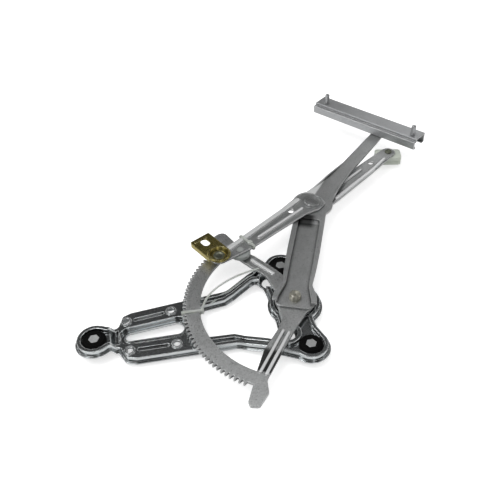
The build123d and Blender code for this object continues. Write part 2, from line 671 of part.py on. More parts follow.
def equaliser_slider_half():
    """The half that lies under the lift arm, drawn from the cross pivot along +X."""
    outline = rounded_face([
        (-EQ_BOSS_RADIUS + 1, 10, 8), (0, EQ_BOSS_RADIUS, 12), (40, 13, 60), (EQ_UPPER, EQ_END_RADIUS, 0),
        (EQ_UPPER, -EQ_END_RADIUS, 0), (110, -13.5, 60), (30, -16.8, 40), (-6, -EQ_BOSS_RADIUS, 10),
    ])
    outline += Pos(EQ_UPPER, 0) * Circle(EQ_END_RADIUS)
    arm = layer(outline, EQ_LOW_Z, EQ_LOW_TOP)
    arm += rib((34, -12.8), (118, -10.0), 6, EQ_RIB_HEIGHT, EQ_LOW_TOP)
    arm += rib((116, -10.1), (EQ_UPPER - 20, -6.4), 5.4, EQ_RIB_HEIGHT, EQ_LOW_TOP)
    arm += rib((34, 2.0), (106, 2.0), 4.5, EQ_RIB_HEIGHT, EQ_LOW_TOP)
    arm -= disc(CROSS_STUD_RADIUS, EQ_LOW_Z - 1, EQ_LOW_TOP + 1)
    arm -= disc(RIVET_RADIUS, EQ_LOW_Z - 1, EQ_LOW_TOP + 1, (EQ_UPPER, 0))
    arm -= disc(EQ_LIGHTENING_RADIUS, EQ_LOW_Z - 1, EQ_LOW_TOP + 5, (130, 2.2))
    return at(CROSS_PIVOT, EQ_UPPER_ANGLE) * arm


def cross_pivot_stud():
    body = rivet(
        CROSS_STUD_RADIUS, CROSS_FOOT_RADIUS, EQ_LOW_Z - RIVET_FOOT_THICK, EQ_LOW_Z,
        CROSS_HEAD_RADIUS, EQ_TOP, EQ_TOP + CROSS_HEAD_HEIGHT,
    )
    return at(CROSS_PIVOT) * body


def cross_washer_upper():
    ring = disc(EQ_BOSS_RADIUS, EQ_TOP_Z - EQ_WASHER, EQ_TOP_Z) - disc(CROSS_STUD_RADIUS, 0, 90)
    return at(CROSS_PIVOT) * ring


def cross_spacer_lower():
    ring = disc(EQ_BOSS_RADIUS - 1, EQ_LOW_TOP, LEDGE_Z - FACE_GAP) - disc(CROSS_STUD_RADIUS, 0, 90)
    return at(CROSS_PIVOT) * ring


def glide_pad():
    """Nylon button under the equaliser that rides on the toothed sector."""
    centre = (EQ_LOWER - PAD_ALONG, PAD_SIDE)
    low = SECTOR_TOP + RIB_HEIGHT + SLIDER_GAP
    pad = Pos(centre[0], centre[1]) * turned([
        (0, low), (PAD_RADIUS - 1, low), (PAD_RADIUS, low + 1), (PAD_RADIUS, EQ_TOP_Z - 1),
        (PAD_RADIUS - 1, EQ_TOP_Z), (PAD_PLUG_RADIUS, EQ_TOP_Z), (PAD_PLUG_RADIUS, EQ_TOP),
        (PAD_PLUG_RADIUS + 1, EQ_TOP), (PAD_PLUG_RADIUS + 1, EQ_TOP + 0.6), (0, EQ_TOP + 0.9),
    ])
    return at(CROSS_PIVOT, EQ_LOWER_ANGLE) * pad


def arm_tie():
    """Nylon tie round the equaliser's bracket half, its head lying on the arm."""
    low, high = EQ_TOP_Z - TIE_GAP, EQ_TOP + EQ_RIB_HEIGHT + TIE_GAP
    outer_edge, inner_edge = -EQ_HALF + 1.9 - TIE_GAP, EQ_HALF + 3.3 + TIE_GAP
    middle, across = (low + high) / 2, inner_edge - outer_edge
    outer = Box(TIE_WIDTH, across + 2 * TIE_THICK, high - low + 2 * TIE_THICK)
    inner = Box(2 * TIE_WIDTH, across, high - low)
    loop = Pos(0, (outer_edge + inner_edge) / 2, middle) * (fillet(outer.edges().filter_by(Axis.X), 1.0) - inner)
    head = fillet(Box(TIE_HEAD, TIE_HEAD, 3.4).edges(), 0.6)
    tie = loop + Pos(0, inner_edge - TIE_HEAD - 1.5, high + 1.2) * head
    return at(CROSS_PIVOT, EQ_LOWER_ANGLE) * (Pos(EQ_LOWER - PAD_ALONG - PAD_RADIUS - ARM_TIE_GAP, 0) * tie)


# ---------------------------------------------------------------- tie round the sector
def sector_tie():
    """Nylon tie round the toothed band, with its long tail lying over the window."""
    low, high = SECTOR_Z - TIE_GAP, SECTOR_TOP + TIE_GAP
    inner_r, outer_r = BAND_RADIUS - TIE_GAP, TIP_RADIUS + TIE_GAP
    middle, length = (low + high) / 2, outer_r - inner_r
    outer = Box(length + 2 * TIE_THICK, TIE_WIDTH, high - low + 2 * TIE_THICK)
    inner = Box(length, 2 * TIE_WIDTH, high - low)
    loop = Pos((inner_r + outer_r) / 2, 0, middle) * (fillet(outer.edges().filter_by(Axis.Y), 1.0) - inner)
    head_at = inner_r - TIE_THICK - 1.2
    head = fillet(Box(3.4, TIE_HEAD, TIE_HEAD).edges(), 0.6)
    band = at((0, 0), SECTOR_TIE_ANGLE) * (loop + Pos(head_at, 0, high - 0.8) * head)
    start = polar(head_at, SECTOR_TIE_ANGLE - 1)
    run = Spline(start, TAIL_MIDDLE, TAIL_END, tangents=((0.35, 1), (1, 0.1)))
    tail = Plane.XY.offset(SECTOR_TOP + TAIL_LIFT) * trace(run, TAIL_WIDTH)
    return band + extrude(tail, TAIL_THICK)


# ---------------------------------------------------------------- guide bracket
def guide_bracket():
    low, top = BRACKET_Z - BRACKET_SHEET, BRACKET_Z
    plate = layer(rounded_face([
        (0, BRACKET_HALF, 0), (BRACKET_LENGTH, BRACKET_HALF, 2), (BRACKET_LENGTH, -BRACKET_HALF, 2),
        (0, -BRACKET_HALF, 0),
    ]), low, top)
    plate -= disc(BRACKET_HALF - 1, low - 1, top + 1)
    plate += edge_flange((1, BRACKET_HALF - BRACKET_SHEET), (BRACKET_LENGTH - 2, BRACKET_HALF - BRACKET_SHEET),
                         BRACKET_SHEET, top - BRACKET_SHEET - BRACKET_FLANGE + 0.5, BRACKET_FLANGE, BRACKET_FLANGE)
    plate += rib((BRACKET_LENGTH - 5, -6), (BRACKET_LENGTH - 5, 9), 2.4, 0.6, top)
    slot = at((BRACKET_SLOT_AT, 0)) * SlotOverall(BRACKET_SLOT_LENGTH, BRACKET_SLOT_WIDTH)
    plate -= layer(slot, low - 1, top + 1)
    bore = RIVET_RADIUS + RUNNING_GAP
    cup = turned([
        (bore, CUP_Z), (CUP_FLOOR_RADIUS + 0.6, CUP_Z), (CUP_MOUTH_RADIUS + 1.2, low), (BRACKET_HALF, low),
        (BRACKET_HALF, top), (CUP_MOUTH_RADIUS + 1.6, top + CUP_LIP), (CUP_MOUTH_RADIUS, top + CUP_LIP),
        (CUP_FLOOR_RADIUS, CUP_Z + BRACKET_SHEET), (bore, CUP_Z + BRACKET_SHEET),
    ])
    return at(BRACKET_PIVOT, BRACKET_ANGLE) * (plate + cup)


def bracket_rivet():
    head_low = CUP_Z + BRACKET_SHEET + FACE_GAP
    body = rivet(
        RIVET_RADIUS, RIVET_FOOT_RADIUS, EQ_TOP_Z - RIVET_FOOT_THICK, EQ_TOP_Z,
        RIVET_HEAD_RADIUS, head_low, head_low + RIVET_HEAD_HEIGHT, 4.5, 0.5,
    )
    return at(BRACKET_PIVOT) * body


# ---------------------------------------------------------------- end slider
SLIDER_TOP = EQ_LOW_Z - SLIDER_GAP
SLIDER_Z = SLIDER_TOP - SLIDER_HEIGHT
SLIDER_FLOOR = SLIDER_Z + 5.0


def end_slider():
    block = Pos(0, 0, (SLIDER_Z + SLIDER_TOP) / 2) * Box(SLIDER_LENGTH, SLIDER_WIDTH, SLIDER_HEIGHT)
    block = fillet(block.edges().filter_by(Axis.Z), 4)
    block = chamfer(block.edges().group_by(Axis.Z)[-1] + block.edges().group_by(Axis.Z)[0], 0.8)
    for side in (-1, 1):
        groove = Box(SLIDER_LENGTH + 2, 1.6, 2.2)
        block -= Pos(0, side * SLIDER_WIDTH / 2, SLIDER_Z + SLIDER_HEIGHT * 0.45) * groove
    block -= disc(RIVET_RADIUS + RUNNING_GAP, SLIDER_Z - 1, SLIDER_TOP + 1)
    block -= disc(SLIDER_FOOT_RADIUS + SLIDER_GAP, SLIDER_Z - 1, SLIDER_FLOOR)
    return at(SLIDER_PIVOT, SLIDER_ANGLE) * block


def slider_rivet():
    foot_high = SLIDER_FLOOR - FACE_GAP
    body = rivet(
        RIVET_RADIUS, SLIDER_FOOT_RADIUS, foot_high - 2, foot_high,
        SLIDER_HEAD_RADIUS, EQ_LOW_TOP, EQ_LOW_TOP + 1.8, 2.2, 0.7,
    )
    return at(SLIDER_PIVOT) * body


# ---------------------------------------------------------------- glass rail
def rail_profile():
    """Section across the rail: x is across, from the studs' line, y is height."""
    t = RAIL_SHEET
    step = RAIL_TOP - RAIL_STEP
    return make_face(Polyline(
        (WEB_FRONT, RAIL_TOP), (WEB_BACK, RAIL_TOP), (WEB_BACK, RAIL_Z), (LIP_BACK, RAIL_Z),
        (LIP_BACK, RAIL_Z + t), (WEB_BACK - t, RAIL_Z + t), (WEB_BACK - t, RAIL_TOP - t),
        (WEB_FRONT + t, RAIL_TOP - t), (WEB_FRONT + t, step - t), (WALL_FRONT + t, step - t),
        (WALL_FRONT + t, RAIL_Z + t), (LIP_FRONT, RAIL_Z + t), (LIP_FRONT, RAIL_Z), (WALL_FRONT, RAIL_Z),
        (WALL_FRONT, step), (WEB_FRONT, step), close=True,
    ))


SLOT_MIDDLE = (LIP_FRONT + LIP_BACK) / 2       # the rail pivot runs here, across the rail


def on_rail(shape):
    """Place a piece drawn along +X from the rail's far end, with the studs' line on its X axis."""
    shift = Pos(-RAIL_REST_SHIFT, -SLOT_MIDDLE, 0)
    return at(RAIL_PIVOT, RAIL_ANGLE) * (shift * shape)


def glass_rail():
    section = Plane((0, 0, 0), x_dir=(0, 1, 0), z_dir=(1, 0, 0)) * rail_profile()
    rail = extrude(section, RAIL_LENGTH)
    bends = rail.edges().filter_by(Axis.X).filter_by(
        lambda edge: edge.center().Z > RAIL_TOP - 0.1 or edge.center().Z < RAIL_Z + 0.1
    )
    outer = bends.filter_by(lambda edge: edge.center().Y in (WEB_BACK, WEB_FRONT, WALL_FRONT))
    rail = fillet(outer, RAIL_SHEET * 0.8)
    for x in RAIL_STUD_PLACES:
        hole = RAIL_STUD_RADIUS + RAIL_STUD_KNURL
        rail -= disc(hole, RAIL_TOP - RAIL_SHEET - 1, RAIL_TOP + 1, (x, 0))
    return on_rail(rail)


def rail_stud(place):
    """Threaded stud with a knurled shank in the web and a flat head under it."""
    web_low = RAIL_TOP - RAIL_SHEET
    tip = RAIL_TOP + RAIL_STUD_LENGTH
    r = RAIL_STUD_RADIUS
    knurl = r + RAIL_STUD_KNURL
    body = turned([
        (0, web_low - 1.0), (knurl + 1.1, web_low - 1.0), (knurl + 1.1, web_low), (knurl, web_low),
        (knurl, RAIL_TOP), (r, RAIL_TOP), (r, tip - 1), (r - 1, tip), (0, tip),
    ])
    return on_rail(Pos(place, 0, 0) * body)


SHOE_Z = RAIL_Z + RAIL_SHEET + SHOE_GAP
SHOE_TOP = RAIL_TOP - RAIL_STEP - RAIL_SHEET - SHOE_GAP


def rail_shoe():
    """Nylon shoe that turns on the rail pivot and runs inside the rail."""
    half = min(SLOT_MIDDLE - WALL_FRONT, WEB_BACK - SLOT_MIDDLE) - RAIL_SHEET - SHOE_GAP
    block = Pos(0, 0, (SHOE_Z + SHOE_TOP) / 2) * Box(SHOE_LENGTH, 2 * half, SHOE_TOP - SHOE_Z)
    block = fillet(block.edges().filter_by(Axis.Z), 4)
    block += disc(SHOE_NECK_RADIUS, LEDGE_TOP + FACE_GAP, SHOE_Z + 1)
    block -= disc(RIVET_RADIUS + RUNNING_GAP, LEDGE_TOP - 1, SHOE_TOP + 1)
    for side in (-1, 1):
        block -= Pos(side * SHOE_LENGTH * 0.32, 0, SHOE_TOP) * Box(3, 2 * half - 6, 3)
    return at(RAIL_PIVOT, RAIL_ANGLE) * block


def rail_pivot_pin():
    body = rivet(
        RIVET_RADIUS, RIVET_FOOT_RADIUS, LEDGE_Z - 1.5, LEDGE_Z,
        PIN_HEAD_RADIUS, SHOE_TOP + FACE_GAP, SHOE_TOP + FACE_GAP + 1.6,
    )
    return at(RAIL_PIVOT) * body


# ---------------------------------------------------------------- write the pieces
def all_pieces():
    pieces = {
        "base_plate": base_plate(),
        "pivot_stud": pivot_stud(),
        "thrust_washer": thrust_washer(),
        "pivot_bush": pivot_bush(),
        "sector_gear": sector_gear(),
        "lift_arm": lift_arm(),
        "rail_pivot_pin": rail_pivot_pin(),
        "sector_tie": sector_tie(),
        "equaliser_bracket_half": equaliser_bracket_half(),
        "equaliser_slider_half": equaliser_slider_half(),
        "cross_pivot_stud": cross_pivot_stud(),
        "cross_washer_upper": cross_washer_upper(),
        "cross_spacer_lower": cross_spacer_lower(),
        "glide_pad": glide_pad(),
        "arm_tie": arm_tie(),
        "bracket_rivet": bracket_rivet(),
        "slider_rivet": slider_rivet(),
        "guide_bracket": guide_bracket(),
        "end_slider": end_slider(),
        "rail_shoe": rail_shoe(),
        "glass_rail": glass_rail(),
        "rail_stud_far": rail_stud(RAIL_STUD_PLACES[0]),
        "rail_stud_near": rail_stud(RAIL_STUD_PLACES[1]),
    }
    for name, centre in MOUNT_CENTRES.items():
        rise = MOUNT_RISES[name]
        pieces[f"rubber_mount_{name}"] = at(centre) * rubber_mount(rise)
        pieces[f"threaded_insert_{name}"] = at(centre) * threaded_insert(rise)
    return pieces


os.makedirs("parts", exist_ok=True)
for piece_name, piece in all_pieces().items():
    export_step(piece, f"parts/{piece_name}.step")
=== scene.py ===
"""Window regulator of a car's front door: its finishes, small details and studio."""

import math

import bmesh
import bpy
from mathutils import Matrix, Vector


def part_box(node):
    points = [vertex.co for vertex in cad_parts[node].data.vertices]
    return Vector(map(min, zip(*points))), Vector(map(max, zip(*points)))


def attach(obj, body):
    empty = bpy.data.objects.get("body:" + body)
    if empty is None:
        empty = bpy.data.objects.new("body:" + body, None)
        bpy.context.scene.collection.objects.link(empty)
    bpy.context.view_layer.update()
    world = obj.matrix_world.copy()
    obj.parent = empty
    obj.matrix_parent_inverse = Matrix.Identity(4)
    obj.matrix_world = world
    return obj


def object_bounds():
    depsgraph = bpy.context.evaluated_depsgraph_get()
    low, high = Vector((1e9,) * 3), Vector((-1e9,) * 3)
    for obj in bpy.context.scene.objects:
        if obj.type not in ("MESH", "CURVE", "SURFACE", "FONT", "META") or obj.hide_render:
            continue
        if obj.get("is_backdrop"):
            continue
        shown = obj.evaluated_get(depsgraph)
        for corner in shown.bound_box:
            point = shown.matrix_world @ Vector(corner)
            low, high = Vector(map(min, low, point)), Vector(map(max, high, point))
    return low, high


bl_info = {
    "name": "Window regulator",
    "version": (1, 0, 0),
    "blender": (4, 5, 0),
    "location": "View3D > Sidebar > Regulator",
    "description": "Finishes and details of a cross-arm window regulator",
    "category": "Object",
}

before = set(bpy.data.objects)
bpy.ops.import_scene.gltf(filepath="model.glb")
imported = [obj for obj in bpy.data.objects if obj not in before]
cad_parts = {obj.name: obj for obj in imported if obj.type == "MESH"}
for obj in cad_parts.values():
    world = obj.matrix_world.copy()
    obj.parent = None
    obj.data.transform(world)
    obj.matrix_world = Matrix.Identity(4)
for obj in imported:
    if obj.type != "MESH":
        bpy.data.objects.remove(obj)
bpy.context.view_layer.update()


FLOAT = "NodeSocketFloat"
VECTOR = "NodeSocketVector"
COLOUR = "NodeSocketColor"


# ---- sizes of the small details, in metres -----------------------------

RING_SIDES = 10
RING_STEPS = 56
THREAD_SIDES = 3
THREAD_STEPS = 20
RUBBER_LIPS = (  # depth below the mount's top, radius, wire
    (0.0012, 0.0119, 0.0005),
    (0.0002, 0.0100, 0.0005),
    (0.0, 0.0077, 0.0004),
)


# ---- where the arms get painted highlight or painted shade -------------

# Each pair says how far along a direction a mask starts and ends its rise.
RIB_HEIGHT = 0.0015
# Rise of the painted highlight on the rib crests.
RIB_RISE = (0.0002, 0.0011)
UPPER_ARM_ANGLE = math.radians(43.0)
LOWER_SPOKE_ANGLE = math.radians(236.3)
# Painted highlight on the upper arm's left flank.
FLANK_SLANT = 0.14
FLANK_EDGE = (0.0030, 0.0050)
FLANK_START = (0.010, 0.018)
FLANK_END = (-0.080, -0.060)
# Painted shade in the trough of the sector's lower spoke.
TROUGH_START = (0.070, 0.077)
TROUGH_END = (-0.1035, -0.1015)
TROUGH_SIDE = (-0.012, -0.010)
TROUGH_TOP = (-0.0010, -0.0004)
# Painted shadow over the lift arm's panel step, below the cross pivot.
RAMP_SHADOW_START = (0.022, 0.025)
RAMP_SHADOW_END = (-0.048, -0.036)
RAMP_SHADOW_RIGHT = (-0.010, -0.001)
ARM_ROUNDING = {
    "sector_gear": 0.0014,
    "lift_arm": 0.0011,
    "equaliser_bracket_half": 0.0028,
    "equaliser_slider_half": 0.0028,
}


# ---- traits that like pieces share -------------------------------------

# Colour of worn edges, also painted on as highlight along edges and rib crests.
WORN_AND_HIGHLIGHT_ZINC = (0.86, 0.87, 0.87, 1.0)
# Colour that multiplies the patches of painted shade.
PAINTED_SHADE_TONE = (0.12, 0.12, 0.12, 1.0)
# Painted shade: how near a surface must be for ambient occlusion to darken a corner.
CORNER_SHADE_REACH = 0.005
EDGE_BURNISH = 0.12
LEAST_ROUGHNESS = 0.08
# How much less metallic the painted highlight makes the rib crests.
RIB_METAL_LOSS = 0.5
RIPPLE_HEIGHT = 0.004
PIT_DEPTH = 0.0002
AGED_NYLON = (0.88, 0.9, 0.84)


# ---- sizes of the studio -----------------------------------------------

SENSOR_WIDTH = 36.0
CAMERA_PLACE = Vector((-0.1385, -0.4444, 0.5134))
CAMERA_AIM = Vector((0.1480, 0.7271, -0.6704)).normalized()
KEY_AIM = Vector((0.45, -0.25, -1.0)).normalized()
FLOOR_HALF = 6.0
CARD_COUNT = 5
CARD_WIDTH = 1.7
CARD_HEIGHT = 2.2
CARD_AWAY = 1.6
CARD_MIDDLE = 1.35
CARD_TILT = math.radians(100)
CEILING_CARD = 1.4
CEILING_HEIGHT = 2.1


# ---- what a user would change ------------------------------------------

def colour(name, description, value):
    """A colour shown in the panel."""
    return bpy.props.FloatVectorProperty(
        name=name, description=description, default=value,
        subtype="COLOR", size=3, min=0.0, max=1.0,
    )


def length(name, description, value):
    """A size shown in the panel."""
    return bpy.props.FloatProperty(
        name=name, description=description, default=value,
        unit="LENGTH", subtype="DISTANCE", min=0.0, precision=5,
    )


def share(name, description, value):
    """A strength from 0 to 1 shown in the panel."""
    return bpy.props.FloatProperty(
        name=name, description=description, default=value,
        subtype="FACTOR", min=0.0, max=1.0,
    )


class RegulatorFinishes(bpy.types.PropertyGroup):
    """Colours of the plated, rubber and nylon parts."""

    bright_zinc: colour(
        "Bright zinc", "Mirror-bright plating of the base plate", (0.72, 0.75, 0.76),
    )
    satin_zinc: colour(
        "Satin zinc", "Plating of the arms and the toothed sector", (0.60, 0.61, 0.61),
    )
    rail_zinc: colour(
        "Rail zinc", "Duller plating of the roll-formed glass rail", (0.58, 0.59, 0.60),
    )
    yellow_zinc: colour(
        "Yellow zinc", "Plating of the main pivot", (0.66, 0.64, 0.55),
    )
    gold_chromate: colour(
        "Gold chromate", "Olive-gold plating of the guide bracket", (0.50, 0.42, 0.14),
    )
    olive_rivet: colour(
        "Olive rivet", "Plating of the bracket's and the slider's rivets", (0.25, 0.26, 0.20),
    )
    rubber: colour("Rubber", "Rubber of the door mounts", (0.004, 0.004, 0.004))
    nylon: colour("Nylon", "Natural nylon of the slider and the shoe", (0.58, 0.61, 0.56))
    pad: colour("Pad", "Greased nylon of the glide pad", (0.45, 0.47, 0.47))
    tie: colour("Tie", "Clear nylon of the cable ties", (0.75, 0.77, 0.75))
    grain: share("Grain", "Strength of the rolled grain in the satin sheets", 0.35)
    ripple: share("Ripple", "Waviness of the bright pressed sheet", 0.30)


class RegulatorDetails(bpy.types.PropertyGroup):
    """Sizes of the rings round the rivet heads and of the studs' threads."""

    head_wire: length("Head wire", "Half the thickness of the rings on the heads", 0.0003)
    pivot_ring: length("Pivot ring", "Radius of the ring on the main pivot's head", 0.0043)
    cross_outer: length("Outer ring", "Radius of the cross pivot's outer ring", 0.0085)
    cross_inner: length("Inner ring", "Radius of the cross pivot's inner ring", 0.0052)
    boss_wire: length("Boss wire", "Half the thickness of the ring on the boss", 0.0004)
    boss_ring: length("Boss ring", "Radius of the ring on the cross pivot's boss", 0.0135)
    thread_radius: length("Thread radius", "Radius of the studs under the thread", 0.0029)
    thread_depth: length("Thread depth", "How far the thread stands out of the studs", 0.0004)
    thread_pitch: length("Thread pitch", "Height of one turn of the thread", 0.001)
    thread_start: length("Thread start", "Depth of the thread's foot below the tip", 0.0135)
    thread_turns: bpy.props.IntProperty(
        name="Thread turns", description="Turns of the thread on each stud", default=12, min=1,
    )


class RegulatorStage(bpy.types.PropertyGroup):
    """Camera, floor and lamps of the studio."""

    lens: bpy.props.FloatProperty(
        name="Lens", description="Focal length of the camera", default=44.33,
        unit="CAMERA", min=1.0,
    )
    roll: bpy.props.FloatProperty(
        name="Roll", description="Roll of the camera about its own axis",
        default=math.radians(-2.33), unit="ROTATION", subtype="ANGLE",
    )
    floor: colour("Floor", "Colour of the floor", (0.90, 0.90, 0.90))
    floor_glow: share("Floor glow", "White that the camera sees added to the floor", 0.55)
    key: bpy.props.FloatProperty(
        name="Key lamp", description="Strength of the large soft lamp", default=1.1, min=0.0,
    )
    key_size: bpy.props.FloatProperty(
        name="Key size", description="How wide the soft lamp looks from the part",
        default=math.radians(48), unit="ROTATION", subtype="ANGLE",
    )
    world: share("Room light", "Brightness of the pale room", 0.68)
    card: colour("Card", "Colour of the dark cards that polished metal mirrors", (0.05, 0.05, 0.05))


# ---- shader helpers ----------------------------------------------------

def node(tree, kind, **values):
    """A node with its sockets or its settings given by name."""
    made = tree.nodes.new(kind)
    for name, value in values.items():
        if name in made.inputs:
            made.inputs[name].default_value = value
        else:
            setattr(made, name, value)
    return made


def feed(tree, target, value):
    """Link the target to a socket, or set it to a plain value."""
    if isinstance(value, bpy.types.NodeSocket):
        tree.links.new(value, target)
    else:
        target.default_value = value


def maths(tree, operation, first, second, **settings):
    """The outcome of a sum with two values."""
    made = node(tree, "ShaderNodeMath", operation=operation, **settings)
    feed(tree, made.inputs[0], first)
    feed(tree, made.inputs[1], second)
    return made.outputs[0]


def dot(tree, first, second):
    """How far one vector reaches along another."""
    made = node(tree, "ShaderNodeVectorMath", operation="DOT_PRODUCT")
    feed(tree, made.inputs[0], first)
    feed(tree, made.inputs[1], second)
    return made.outputs["Value"]


def scaled(tree, vector, factor):
    """A vector or a colour times a factor."""
    made = node(tree, "ShaderNodeVectorMath", operation="SCALE")
    feed(tree, made.inputs[0], vector)
    feed(tree, made.inputs["Scale"], factor)
    return made.outputs[0]


def remap(tree, value, low, high, start=0.0, end=1.0, **settings):
    """A value going from start to end as the given one goes from low to high."""
    made = node(tree, "ShaderNodeMapRange", **settings)
    feed(tree, made.inputs["Value"], value)
    feed(tree, made.inputs["From Min"], low)
    feed(tree, made.inputs["From Max"], high)
    feed(tree, made.inputs["To Min"], start)
    feed(tree, made.inputs["To Max"], end)
    return made.outputs["Result"]


def blend(tree, factor, first, second, **settings):
    """A mix of two colours."""
    made = node(tree, "ShaderNodeMix", data_type="RGBA", **settings)
    feed(tree, made.inputs["Factor"], factor)
    feed(tree, made.inputs["A"], first)
    feed(tree, made.inputs["B"], second)
    return made.outputs["Result"]


def noise(tree, vector, scale, detail, roughness=0.5):
    """A cloudy value that drifts through space."""
    made = node(
        tree, "ShaderNodeTexNoise", Scale=scale, Detail=detail, Roughness=roughness,
    )
    feed(tree, made.inputs["Vector"], vector)
    return made.outputs["Fac"]


def bump(tree, height, strength, distance, normal=None):
    """A normal tilted by a height, on top of another normal if one is given."""
    made = node(tree, "ShaderNodeBump", Distance=distance)
    feed(tree, made.inputs["Strength"], strength)
    feed(tree, made.inputs["Height"], height)
    if normal is not None:
        feed(tree, made.inputs["Normal"], normal)
    return made.outputs["Normal"]


def new_group(name, inputs, outputs):
    """A shader node group with named sockets."""
    tree = bpy.data.node_groups.new(name, "ShaderNodeTree")
    for label, kind, value in inputs:
        socket = tree.interface.new_socket(label, in_out="INPUT", socket_type=kind)
        if value is not None:
            socket.default_value = value
    for label, kind in outputs:
        tree.interface.new_socket(label, in_out="OUTPUT", socket_type=kind)
    start = tree.nodes.new("NodeGroupInput")
    end = tree.nodes.new("NodeGroupOutput")
    return tree, start, end


def use_group(tree, group, values):
    """A group in a tree, with a value or a socket for each of the inputs named."""
    made = tree.nodes.new("ShaderNodeGroup")
    made.node_tree = group
    for name, value in values.items():
        feed(tree, made.inputs[name], value)
    return made


def edge_group():
    """Edges that look rolled over: their normal, and a mask of where they are."""
    if "rolled_edge" in bpy.data.node_groups:
        return bpy.data.node_groups["rolled_edge"]
    tree, start, end = new_group(
        "rolled_edge",
        [("Radius", FLOAT, 0.0006)],
        [("Edge", FLOAT), ("Normal", VECTOR)],
    )
    rolled = node(tree, "ShaderNodeBevel", samples=6)
    feed(tree, rolled.inputs["Radius"], start.outputs["Radius"])
    flat = tree.nodes.new("ShaderNodeNewGeometry")
    alike = dot(tree, rolled.outputs["Normal"], flat.outputs["True Normal"])
    feed(tree, end.inputs["Edge"], remap(tree, alike, 0.995, 0.80))
    feed(tree, end.inputs["Normal"], rolled.outputs["Normal"])
    return tree


def plating_group():
    """Plating that is cloudy and speckled, with worn edges and painted highlight at its edges and
    ribs, and painted shade in its corners.
    """
    if "plating" in bpy.data.node_groups:
        return bpy.data.node_groups["plating"]
    tree, start, end = new_group(
        "plating",
        [
            ("Vector", VECTOR, None),
            ("Colour", COLOUR, (0.6, 0.6, 0.6, 1)),
            ("Cloud", FLOAT, 0.2),
            ("Roughness", FLOAT, 0.3),
            ("Grain", FLOAT, 0.3),
            ("Ripple", FLOAT, 0.0),
            ("Edge", FLOAT, 0.0),
            ("Wear_and_highlight", FLOAT, 0.3),
            ("Corner_shade", FLOAT, 0.5),
            ("Normal", VECTOR, None),
        ],
        [("Colour", COLOUR), ("Roughness", FLOAT), ("Normal", VECTOR)],
    )
    given = start.outputs
    clouds = noise(tree, given["Vector"], scale=38.0, detail=5.0, roughness=0.6)
    grain = noise(tree, given["Vector"], scale=900.0, detail=3.0, roughness=0.6)
    wave = noise(tree, given["Vector"], scale=22.0, detail=1.5, roughness=0.4)

    dimmest = maths(tree, "SUBTRACT", 1.0, given["Cloud"])
    drift = remap(tree, clouds, 0.3, 0.7, start=1.0, end=dimmest)
    clouded = scaled(tree, given["Colour"], drift)
    dullest = maths(tree, "SUBTRACT", 1.0, given["Grain"])
    speckle = remap(tree, grain, 0.3, 0.7, start=dullest, end=1.0)
    speckled = scaled(tree, clouded, speckle)
    # Worn edges, and painted highlight on edges and ribs, blend towards a light zinc.
    wear_and_highlight_amount = maths(tree, "MULTIPLY", given["Edge"], given["Wear_and_highlight"])
    worn_and_highlit = blend(tree, wear_and_highlight_amount, speckled, WORN_AND_HIGHLIGHT_ZINC)
    # Painted shade: the colour darkens in corners that ambient occlusion finds close by.
    corner = node(
        tree, "ShaderNodeAmbientOcclusion", samples=6, only_local=True,
        Distance=CORNER_SHADE_REACH,
    )
    deepest_corner_shade = maths(tree, "SUBTRACT", 1.0, given["Corner_shade"])
    corner_shading = remap(tree, corner.outputs["AO"], 0.45, 0.85, start=deepest_corner_shade, end=1.0)
    feed(tree, end.inputs["Colour"], scaled(tree, worn_and_highlit, corner_shading))

    speck = maths(tree, "SUBTRACT", grain, 0.5)
    spread = maths(tree, "MULTIPLY", speck, given["Grain"])
    rough = maths(tree, "ADD", spread, given["Roughness"], use_clamp=True)
    burnish = maths(tree, "MULTIPLY", given["Edge"], EDGE_BURNISH)
    smooth = maths(tree, "SUBTRACT", rough, burnish)
    feed(tree, end.inputs["Roughness"], maths(tree, "MAXIMUM", smooth, LEAST_ROUGHNESS))

    rippled = bump(tree, wave, given["Ripple"], RIPPLE_HEIGHT, given["Normal"])
    pitted = bump(tree, grain, given["Grain"], PIT_DEPTH, rippled)
    feed(tree, end.inputs["Normal"], pitted)
    return tree


def new_material(name):
    """A material with its tree, its shader and its object coordinates."""
    material = bpy.data.materials.new(name)
    material.use_nodes = True
    tree = material.node_tree
    shader = tree.nodes["Principled BSDF"]
    where = tree.nodes.new("ShaderNodeTexCoord").outputs["Object"]
    return material, tree, shader, where


def slope(direction, origin, rise):
    """A mask's rise along a direction, counted from an origin."""
    low, high = rise
    middle = direction.dot(origin)
    return direction, middle + low, middle + high


def inside(tree, where, slopes):
    """A mask that is 1 past every slope; each is a direction and where it rises."""
    mask = None
    for direction, low, high in slopes:
        along = dot(tree, where, direction)
        rise = remap(tree, along, low, high, interpolation_type="SMOOTHSTEP")
        mask = rise if mask is None else maths(tree, "MULTIPLY", mask, rise)
    return mask


